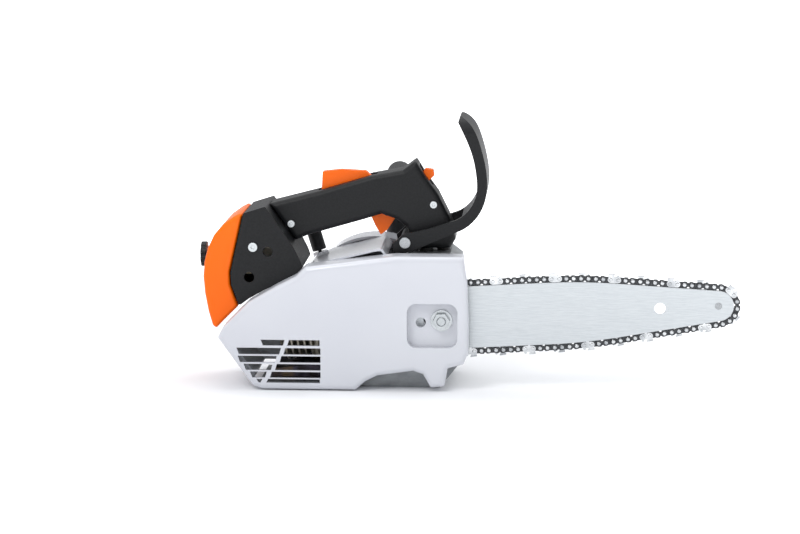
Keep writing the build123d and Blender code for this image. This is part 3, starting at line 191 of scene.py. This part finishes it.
def brushed_metal(name, dark, light, rough=0.3, stretch=(0.04, 1, 1), cell=2600.0):
    """Ground or drawn steel: long fine scratches one way."""
    material, tree, shader = blank_material(name)
    if tree is None:
        return material
    lines = grain(tree, cell, 3, stretch, 0.7)
    tint(tree, shader, lines.outputs[0], dark, light)
    sheen(tree, shader, lines.outputs[0], rough - 0.08, rough + 0.12)
    relief(tree, shader, lines.outputs[0], 0.00002, 0.6)
    shader.inputs["Metallic"].default_value = 1.0
    return material


def plated(name, dark, light, rough=0.22):
    """Zinc or chrome plate: bright, with small cloudy patches."""
    material, tree, shader = blank_material(name)
    if tree is None:
        return material
    cloud = grain(tree, 90, 2)  # the bath leaves patches about 10 mm wide
    tint(tree, shader, cloud.outputs[0], dark, light)
    sheen(tree, shader, cloud.outputs[0], rough, rough + 0.06)
    shader.inputs["Metallic"].default_value = 1.0
    return material


def heat_steel(name):
    """Exhaust box of mild steel: brown and blue temper colours in patches."""
    material, tree, shader = blank_material(name)
    if tree is None:
        return material
    heat = grain(tree, 55, 4)
    ramp = node(tree, "ShaderNodeValToRGB", links={"Fac": heat.outputs[0]})
    ramp.color_ramp.elements[0].position = 0.3
    ramp.color_ramp.elements[0].color = linear("3A3431")
    ramp.color_ramp.elements[1].position = 0.72
    ramp.color_ramp.elements[1].color = linear("8C7658")
    middle = ramp.color_ramp.elements.new(0.5)
    middle.color = linear("5B5766")
    tree.links.new(ramp.outputs[0], shader.inputs["Base Color"])
    soot = grain(tree, 800, 4, roughness=0.7)
    sheen(tree, shader, soot.outputs[0], 0.35, 0.6)
    relief(tree, shader, soot.outputs[0], 0.00008, 0.5)
    shader.inputs["Metallic"].default_value = 0.9
    return material


def soft_rubber(name, dark, light):
    """Moulded nitrile rubber: dull, with a faint bloom."""
    material, tree, shader = blank_material(name)
    if tree is None:
        return material
    bloom = grain(tree, 200, 4)
    tint(tree, shader, bloom.outputs[0], dark, light)
    sheen(tree, shader, bloom.outputs[0], 0.6, 0.8)
    relief(tree, shader, bloom.outputs[0], 0.0001, 0.4)
    return material


def filter_paper(name):
    """Flocked pleated filter felt: fibres about a millimetre long."""
    material, tree, shader = blank_material(name)
    if tree is None:
        return material
    fibre = grain(tree, 1200, 5, (1, 1, 0.4), 0.7)
    tint(tree, shader, fibre.outputs[0], "A79E84", "DDD6C2")
    shader.inputs["Roughness"].default_value = 0.95
    relief(tree, shader, fibre.outputs[0], 0.0003, 0.8)
    return material


def braided_cord(name):
    """Braided polyester: dark plaits with a lighter tracer, one every 2 mm."""
    material, tree, shader = blank_material(name)
    if tree is None:
        return material
    place = node(tree, "ShaderNodeTexCoord")
    plait_pitch = 0.002
    plait = node(tree, "ShaderNodeTexWave", {"bands_direction": "DIAGONAL"},
                 {"Vector": place.outputs["Object"]},
                 Scale=math.tau / 20 / plait_pitch, Distortion=1.0, Detail=2.0)
    tint(tree, shader, plait.outputs["Fac"], "1A1B1D", "3A3C40")
    shader.inputs["Roughness"].default_value = 0.85
    relief(tree, shader, plait.outputs["Fac"], 0.0003, 0.8)
    return material


def make_finishes(hues):
    """Every finish on the saw, by its short name."""
    white = moulded_gloss("white_nylon_gloss", tuple(hues.white_shadow), tuple(hues.white_light), 0.2, 0.35)
    orange = moulded_gloss("orange_nylon_gloss", tuple(hues.orange_shadow), tuple(hues.orange_light),
                           0.36, 0.03, 0.2)
    black = textured_polymer("black_polyamide_eroded", "111214", "18191B")
    hub = textured_polymer("black_polyamide_smooth", "0F1012", "151618", 0.38, 900, 0.00003)
    casting = cast_alloy("magnesium_painted_grey", "7F8284", "9EA1A3")
    alloy = cast_alloy("aluminium_cast_bare", "B8B1A2", "CFC8BA", 0.45)
    bar = brushed_metal("bar_steel_ground", "C2C7CA", "D6DADC", 0.42)
    steel = brushed_metal("steel_turned", "85888B", "B7BABC", 0.28, (1, 0.08, 1), 1800)
    link = brushed_metal("chain_steel_oiled", "2B2C2E", "5A5C5E", 0.34, (1, 1, 1), 900)
    cutter = plated("cutter_chrome_plate", "A8ABAE", "DADCDD", 0.16)
    zinc = plated("zinc_plate_bright", "B4B8BA", "C4C8CA", 0.24)
    exhaust = heat_steel("exhaust_steel_tempered")
    rubber = soft_rubber("nitrile_rubber", "0F0F10", "1C1C1D")
    felt = filter_paper("filter_felt_flocked")
    return {
        "white": white, "orange": orange, "black": black, "hub": hub, "casting": casting, "alloy": alloy,
        "bar": bar, "steel": steel, "link": link, "cutter": cutter, "zinc": zinc, "exhaust": exhaust,
        "rubber": rubber, "felt": felt,
    }


# ---------------------------------------------------------------- sizes and colours a user may change
class SawHues(bpy.types.PropertyGroup):
    """Colours of the painted and moulded parts"""

    orange_shadow: FloatVectorProperty(
        name="Orange, deeper", description="Deeper tone of the orange nylon", subtype="COLOR", size=4,
        default=linear("F46600"), min=0, max=1)
    orange_light: FloatVectorProperty(
        name="Orange, lighter", description="Lighter tone of the orange nylon", subtype="COLOR", size=4,
        default=linear("FA6C00"), min=0, max=1)
    white_shadow: FloatVectorProperty(
        name="White, deeper", description="Deeper tone of the white covers", subtype="COLOR", size=4,
        default=linear("C9CBD2"), min=0, max=1)
    white_light: FloatVectorProperty(
        name="White, lighter", description="Lighter tone of the white covers", subtype="COLOR", size=4,
        default=linear("CDCFD5"), min=0, max=1)


class SawEdges(bpy.types.PropertyGroup):
    """Rounding that tools and moulds leave on edges"""

    moulded: FloatProperty(
        name="Moulded edge", description="Edge radius of plastic parts", subtype="DISTANCE", unit="LENGTH",
        default=0.0005, min=0, max=0.002)
    machined: FloatProperty(
        name="Machined edge", description="Edge break of metal parts", subtype="DISTANCE", unit="LENGTH",
        default=0.0002, min=0, max=0.001)
    crease: FloatProperty(
        name="Crease angle", description="Edges sharper than this stay as edges", subtype="ANGLE",
        default=math.radians(32), min=0, max=math.pi)


class SawChainTrim(bpy.types.PropertyGroup):
    """Rivet heads of the saw chain"""

    head_radius: FloatProperty(
        name="Rivet head radius", description="Peened head, seen from the side", subtype="DISTANCE",
        unit="LENGTH", default=0.0017, min=0.0005, max=0.003)
    head_height: FloatProperty(
        name="Rivet head height", description="How far a head stands out of its strap", subtype="DISTANCE",
        unit="LENGTH", default=0.00025, min=0.0001, max=0.001)


# ---------------------------------------------------------------- operators
def body_holding(name):
    """The body that a carried-over part moves with."""
    for body, members in frame["record"]["behaviour"]["bodies"].items():
        if name in members:
            return body
    raise KeyError(name)


def smooth_copy(name, edge, crease):
    """Copy of a part with welded faces, rounded edges and smooth curves, in place of the part."""
    source = NODES[name]
    mesh = source.data.copy()
    mesh.name = name + "_finished"
    build = bmesh.new()
    build.from_mesh(mesh)
    bmesh.ops.remove_doubles(build, verts=build.verts, dist=2e-6)
    bmesh.ops.dissolve_limit(build, angle_limit=math.radians(0.4), verts=build.verts, edges=build.edges)
    for face in build.faces:
        face.smooth = True
    for edge_line in build.edges:
        sharp = len(edge_line.link_faces) != 2 or edge_line.calc_face_angle(0) > crease
        edge_line.smooth = not sharp
    build.to_mesh(mesh)
    build.free()
    if "custom_normal" in mesh.attributes:
        mesh.attributes.remove(mesh.attributes["custom_normal"])
    piece = bpy.data.objects.new(name + "_finished", mesh)
    bpy.context.scene.collection.objects.link(piece)
    if edge > 0:
        bevel = piece.modifiers.new("edges", "BEVEL")
        bevel.width = edge
        bevel.segments = 2
        bevel.limit_method = "ANGLE"
        bevel.angle_limit = crease
        bevel.use_clamp_overlap = True
        bevel.harden_normals = True
    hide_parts(name)
    return piece


def finished_copy(name, edge, crease):
    """Smooth copy that moves with the part's own body."""
    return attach(smooth_copy(name, edge, crease), body_holding(name))


class GroupFinish:
    """Shared by the groups below: each row is a finish, an edge kind or None, and the parts that have them"""

    rows = ()

    def execute(self, context):
        edges = context.scene.saw_edges
        widths = {"moulded": edges.moulded, "machined": edges.machined, "smooth": 0.0}
        finishes = make_finishes(context.scene.saw_hues)
        for finish, edge, names in self.rows:
            for name in names:
                part = finished_copy(name, widths[edge], edges.crease) if edge else NODES[name]
                part.data.materials.clear()
                part.data.materials.append(finishes[finish])
        return {"FINISHED"}


class CHAINSAW_OT_covers(GroupFinish, bpy.types.Operator):
    """Glossy nylon covers: sprocket cover, engine shroud, starter housing and filter cover"""

    bl_idname = "chainsaw.covers"
    bl_label = "Covers"
    rows = (
        ("white", "moulded", ("sprocket_cover", "engine_shroud", "starter_housing")),
        ("orange", "moulded", ("filter_cover",)),
        ("hub", "moulded", ("cover_knob", "fuel_cap", "oil_cap")),
    )


class CHAINSAW_OT_handles(GroupFinish, bpy.types.Operator):
    """Black handle shells, guard, tube and the mounts that hold them"""

    bl_idname = "chainsaw.handles"
    bl_label = "Handles"
    rows = (
        ("black", "moulded", ("rear_housing", "handle_shell_right", "handle_shell_left", "hand_guard")),
        ("black", "smooth", ("front_handle",)),
        ("rubber", "smooth", ("av_mounts",)),
        ("steel", "machined", ("guard_pins",)),
    )


class CHAINSAW_OT_controls(GroupFinish, bpy.types.Operator):
    """Orange trigger, lockout and stop lever, and the pins they turn on"""

    bl_idname = "chainsaw.controls"
    bl_label = "Controls"
    rows = (
        ("orange", "moulded", ("trigger", "interlock", "stop_lever")),
        ("steel", "smooth", ("lever_pins",)),
    )


class CHAINSAW_OT_engine(GroupFinish, bpy.types.Operator):
    """Castings, cylinder, exhaust and what breathes and sparks"""

    bl_idname = "chainsaw.engine"
    bl_label = "Engine"
    rows = (
        ("casting", "machined", ("crankcase_right", "crankcase_left")),
        ("alloy", "smooth", ("cylinder", "flywheel")),
        ("alloy", None, ("carburetor", "piston")),
        ("exhaust", "machined", ("muffler",)),
        ("rubber", "smooth", ("intake_boot", "plug_boot")),
        ("rubber", None, ("oil_seals",)),
        ("felt", None, ("air_filter",)),
        ("steel", "smooth", ("crankshaft", "spark_plug")),
        ("steel", None, ("crank_bearings", "piston_ring", "wrist_pin", "connecting_rod", "crank_pin")),
    )


class CHAINSAW_OT_clutch(GroupFinish, bpy.types.Operator):
    """Clutch drum with its sprocket, hub, shoes and brake band"""

    bl_idname = "chainsaw.clutch"
    bl_label = "Clutch"
    rows = (
        ("steel", "smooth", ("clutch_drum",)),
        ("steel", None, ("clutch_hub", "clutch_shoe_1", "clutch_shoe_2", "clutch_shoe_3", "brake_band")),
    )


class CHAINSAW_OT_starter(GroupFinish, bpy.types.Operator):
    """Starter grip, rope, pulley and spring"""

    bl_idname = "chainsaw.starter"
    bl_label = "Starter"
    rows = (
        ("black", "moulded", ("starter_grip",)),
        ("hub", "smooth", ("starter_pulley",)),
        ("steel", "smooth", ("rewind_spring",)),
    )


class CHAINSAW_OT_rope(bpy.types.Operator):
    """Braided starter rope, which pays out between the pulley and its grip"""

    bl_idname = "chainsaw.rope"
    bl_label = "Starter rope"

    def execute(self, context):
        rope = smooth_copy("starter_rope", 0.0, context.scene.saw_edges.crease)
        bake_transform(rope)
        rope.data.materials.clear()
        rope.data.materials.append(braided_cord("polyester_braid"))
        return {"FINISHED"}


class CHAINSAW_OT_bar(GroupFinish, bpy.types.Operator):
    """Guide bar with its nose wheel, stud, nut and tensioner"""

    bl_idname = "chainsaw.bar"
    bl_label = "Guide bar"
    rows = (
        ("bar", "machined", ("guide_bar",)),
        ("steel", "smooth", ("nose_rivet",)),
        ("steel", None, ("nose_sprocket", "side_plate")),
        ("steel", "machined", ("tensioner",)),
        ("zinc", "machined", ("bar_stud", "bar_nut", "case_screws")),
    )


class CHAINSAW_OT_chain(GroupFinish, bpy.types.Operator):
    """Oiled links and chromed cutters of the saw chain"""

    bl_idname = "chainsaw.chain"
    bl_label = "Chain"
    rows = (
        ("link", "smooth", ("drive_links", "tie_straps_left", "tie_straps_right")),
        ("cutter", "smooth", ("cutters_left", "cutters_right")),
    )


def islands(mesh):
    """Lowest and highest corner of each loose piece of a mesh."""
    build = bmesh.new()
    build.from_mesh(mesh)
    bmesh.ops.remove_doubles(build, verts=build.verts, dist=2e-6)
    left = set(build.verts)
    boxes = []
    while left:
        stack = [left.pop()]
        group = []
        while stack:
            vert = stack.pop()
            group.append(vert.co.copy())
            for line in vert.link_edges:
                other = line.other_vert(vert)
                if other in left:
                    left.discard(other)
                    stack.append(other)
        co = np.array(group)
        boxes.append((Vector(co.min(0)), Vector(co.max(0))))
    build.free()
    return boxes


class CHAINSAW_OT_rivets(bpy.types.Operator):
    """Sets a domed, peened rivet head on every strap hole of the chain"""

    bl_idname = "chainsaw.rivets"
    bl_label = "Rivet the chain"

    def execute(self, context):
        trim = context.scene.saw_chain
        places = []
        for low, high in islands(NODES["chain_rivets"].data):
            middle = (low + high) / 2
            places.append((middle.x, low.y + trim.head_height, middle.z))
            places.append((middle.x, high.y - trim.head_height, middle.z))
        seats = bpy.data.meshes.new("chain_rivet_seats")
        seats.from_pydata(places, [], [])
        holder = bpy.data.objects.new("chain_rivet_seats", seats)
        context.scene.collection.objects.link(holder)

        tree = bpy.data.node_groups.new("peened_rivets", "GeometryNodeTree")
        tree.interface.new_socket("Seats", in_out="INPUT", socket_type="NodeSocketGeometry")
        for name, value in (("Head Radius", trim.head_radius), ("Head Height", trim.head_height)):
            socket = tree.interface.new_socket(name, in_out="INPUT", socket_type="NodeSocketFloat")
            socket.default_value = value
        tree.interface.new_socket("Rivets", in_out="OUTPUT", socket_type="NodeSocketGeometry")
        given = node(tree, "NodeGroupInput")
        dome = node(tree, "GeometryNodeMeshUVSphere", Segments=12, Rings=6, Radius=1.0)
        size = node(tree, "ShaderNodeCombineXYZ",
                    links={"X": given.outputs["Head Radius"], "Y": given.outputs["Head Height"],
                           "Z": given.outputs["Head Radius"]})
        heads = node(tree, "GeometryNodeInstanceOnPoints",
                     links={"Points": given.outputs["Seats"], "Instance": dome.outputs["Mesh"],
                            "Scale": size.outputs[0]})
        real = node(tree, "GeometryNodeRealizeInstances", links={"Geometry": heads.outputs[0]})
        finish = node(tree, "GeometryNodeSetMaterial", links={"Geometry": real.outputs[0]},
                      Material=bpy.data.materials["cutter_chrome_plate"])
        node(tree, "NodeGroupOutput", links={"Rivets": finish.outputs[0]})
        modifier = holder.modifiers.new("rivets", "NODES")
        modifier.node_group = tree
        for item in tree.interface.items_tree:
            if item.in_out == "INPUT" and item.socket_type == "NodeSocketFloat":
                modifier[item.identifier] = item.default_value
        made = holder.evaluated_get(context.evaluated_depsgraph_get())
        mesh = bpy.data.meshes.new_from_object(made)
        bpy.data.objects.remove(holder)
        mesh.name = "chain_rivet_heads"
        piece = bpy.data.objects.new("chain_rivet_heads", mesh)
        context.scene.collection.objects.link(piece)
        for face in mesh.polygons:
            face.use_smooth = True
        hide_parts("chain_rivets")
        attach(piece, body_holding("chain_rivets"))
        return {"FINISHED"}


class CHAINSAW_OT_studio(bpy.types.Operator):
    """Adds the pale floor, the soft lights and the camera"""

    bl_idname = "chainsaw.studio"
    bl_label = "Set up the studio"

    def execute(self, context):
        scene = context.scene
        material, tree, shader = blank_material("studio_floor_paper")
        if tree:
            tone = grain(tree, 3, 2)
            tint(tree, shader, tone.outputs[0], "EDEEF0", "F1F2F4")
            shader.inputs["Roughness"].default_value = 0.9
            place = node(tree, "ShaderNodeTexCoord")
            away = node(tree, "ShaderNodeVectorMath", {"operation": "LENGTH"},
                        {"Vector": place.outputs["Object"]})
            # painted light: the floor glows, not at all beside the saw and at full strength 1.1 m out, to
            # brighten the far floor that the lamps leave grey
            painted_glow = between(tree, away.outputs["Value"], 0.25, 1.1, 0.0, 1.0)
            tree.links.new(painted_glow, shader.inputs["Emission Strength"])
            shader.inputs["Emission Color"].default_value = (1, 1, 1, 1)
        mesh = bpy.data.meshes.new("studio_floor")
        build = bmesh.new()
        cells = 8
        reach = 6.0
        drop = 0.0002  # keeps the floor clear of the saw's flat base
        bmesh.ops.create_grid(build, x_segments=cells, y_segments=cells, size=reach)
        for vert in build.verts:
            vert.co.z = -drop
        build.to_mesh(mesh)
        build.free()
        floor = bpy.data.objects.new("studio_floor", mesh)
        scene.collection.objects.link(floor)
        mesh.materials.append(material)

        aim = Vector((0.026, -0.02, 0.1025))
        for name, at, size, power in (
            ("lamp_key", (-0.7, -1.3, 1.6), 0.8, 11),
            ("lamp_top", (0.1, 0.3, 1.9), 1.6, 12),
            ("lamp_rim", (0.9, 0.9, 1.1), 0.7, 4),
        ):
            light = bpy.data.lights.new(name, "AREA")
            light.shape = "DISK"
            light.size = size
            light.energy = power
            lamp = bpy.data.objects.new(name, light)
            lamp.location = at
            lamp.rotation_euler = (aim - Vector(at)).to_track_quat("-Z", "Y").to_euler()
            scene.collection.objects.link(lamp)
        world = bpy.data.worlds.new("studio_air")
        scene.world = world
        world.use_nodes = True
        air = world.node_tree
        toward = node(air, "ShaderNodeTexCoord")
        height = node(air, "ShaderNodeSeparateXYZ", links={"Vector": toward.outputs["Generated"]})
        glow = between(air, height.outputs["Z"], -0.1, 0.9, 0.6, 1.0)
        path = node(air, "ShaderNodeLightPath")
        seen = node(air, "ShaderNodeMix", {"data_type": "FLOAT"},
                    {"Factor": path.outputs["Is Camera Ray"], "A": glow}, B=1.05)
        air.nodes["Background"].inputs["Color"].default_value = (0.97, 0.98, 1.0, 1)
        air.links.new(seen.outputs[0], air.nodes["Background"].inputs["Strength"])
        scene.view_settings.view_transform = "Standard"

        azimuth = math.radians(3.5)
        elevation = math.radians(9.0)
        distance = 2.4
        nearer = 0.04  # how far the cover and chain stand in front of the aim
        view_width = 0.686  # what the frame takes in at the chain
        back = Vector((math.sin(azimuth) * math.cos(elevation), -math.cos(azimuth) * math.cos(elevation),
                       math.sin(elevation)))
        lens = bpy.data.cameras.new("camera")
        lens.sensor_width = 36
        lens.lens = lens.sensor_width * (distance - nearer) / view_width
        camera = bpy.data.objects.new("camera", lens)
        camera.location = aim + back * distance
        camera.rotation_euler = (-back).to_track_quat("-Z", "Y").to_euler()
        scene.collection.objects.link(camera)
        scene.camera = camera
        return {"FINISHED"}


class CHAINSAW_PT_sidebar(bpy.types.Panel):
    """Lists the steps"""

    bl_idname = "CHAINSAW_PT_sidebar"
    bl_label = "Chainsaw"
    bl_space_type = "VIEW_3D"
    bl_region_type = "UI"
    bl_category = "Chainsaw"

    def draw(self, context):
        for step in STEPS:
            self.layout.operator(step.bl_idname)


STEPS = (
    CHAINSAW_OT_studio,
    CHAINSAW_OT_covers,
    CHAINSAW_OT_handles,
    CHAINSAW_OT_controls,
    CHAINSAW_OT_engine,
    CHAINSAW_OT_clutch,
    CHAINSAW_OT_starter,
    CHAINSAW_OT_rope,
    CHAINSAW_OT_bar,
    CHAINSAW_OT_chain,
    CHAINSAW_OT_rivets,
)
CLASSES = (SawHues, SawEdges, SawChainTrim, *STEPS, CHAINSAW_PT_sidebar)


def register():
    for cls in CLASSES:
        bpy.utils.register_class(cls)
    bpy.types.Scene.saw_hues = PointerProperty(type=SawHues)
    bpy.types.Scene.saw_edges = PointerProperty(type=SawEdges)
    bpy.types.Scene.saw_chain = PointerProperty(type=SawChainTrim)


def unregister():
    del bpy.types.Scene.saw_chain
    del bpy.types.Scene.saw_edges
    del bpy.types.Scene.saw_hues
    for cls in reversed(CLASSES):
        bpy.utils.unregister_class(cls)


def main():
    register()
    for step in STEPS:
        family, name = step.bl_idname.split(".")
        getattr(getattr(bpy.ops, family), name)()


if __name__ == "__main__":
    main()
